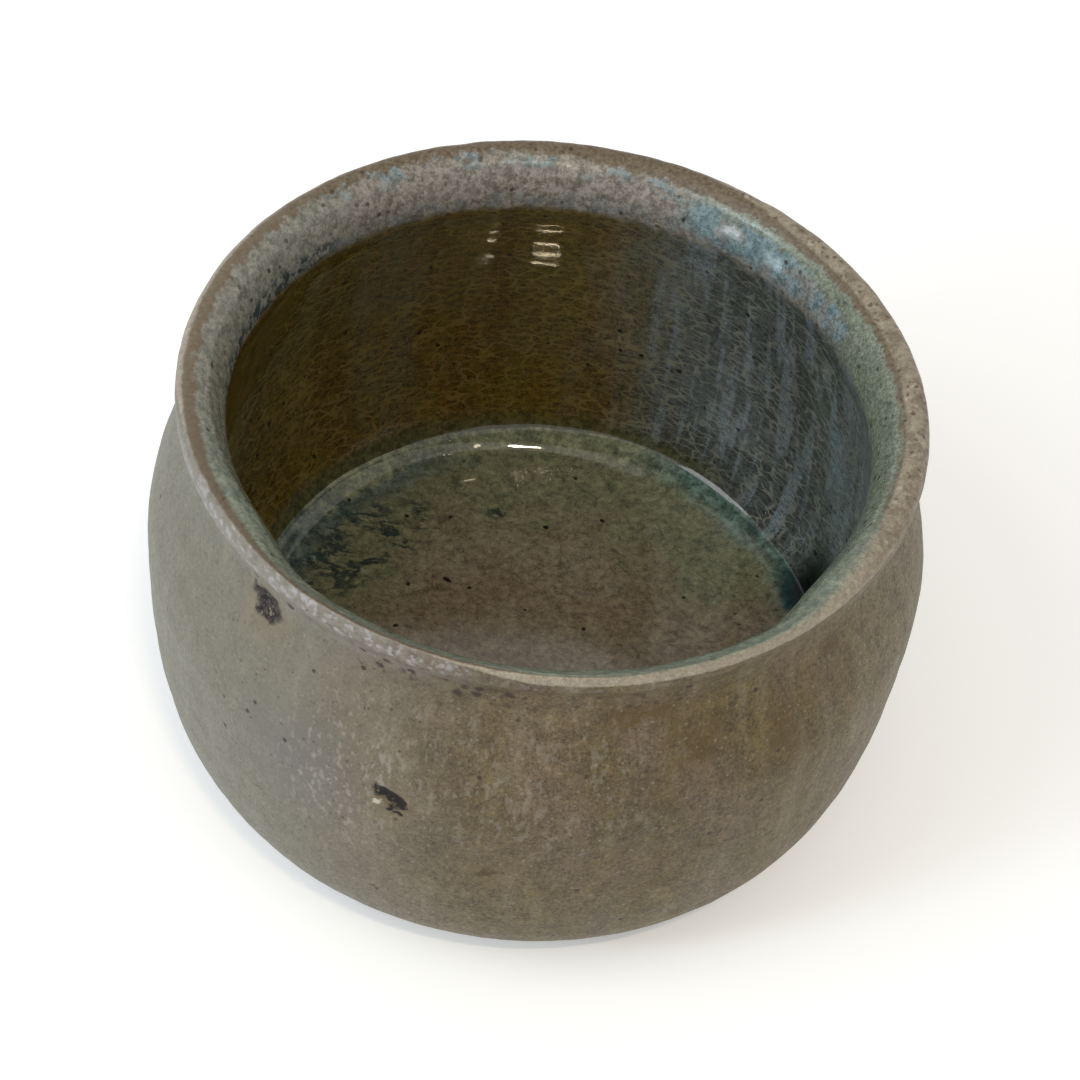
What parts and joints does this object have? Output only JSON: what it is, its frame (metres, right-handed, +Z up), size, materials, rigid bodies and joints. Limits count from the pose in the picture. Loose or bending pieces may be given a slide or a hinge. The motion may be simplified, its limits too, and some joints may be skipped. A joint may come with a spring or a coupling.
{
  "type": "ceramic cup",
  "caption": "Low, round, handleless stoneware cup with a thick everted lip, a turned foot ring, a satin glaze outside and a glossy crazed liner that pools on the floor.",
  "frame": {"origin": "centre of the foot ring, on the surface that the cup stands on", "axes": "+Z up along the axis that the cup was thrown on; X and Y are free, because the form is round"},
  "size_m": [0.0928, 0.0928, 0.058],
  "materials": {
    "bare_clay": "unglazed, turned, fine grog",
    "outer_glaze": "satin, mottled grey-beige with pale flecks and iron spots",
    "lip_glaze": "satin, thin, breaking brown over the crest",
    "rim_band_glaze": "glossy, opaque, pale grey with turquoise where it runs",
    "inner_wall_glaze": "high gloss, olive-brown to blue-grey, crazed",
    "floor_glaze_pool": "high gloss, glassy, green at its edge"
  },
  "bodies": {
    "root": {"clay_body": "bare_clay", "outer_glaze": "outer_glaze", "lip_glaze": "lip_glaze", "rim_band_glaze": "rim_band_glaze", "inner_wall_glaze": "inner_wall_glaze", "floor_glaze_pool": "floor_glaze_pool"}
  },
  "joints": []
}
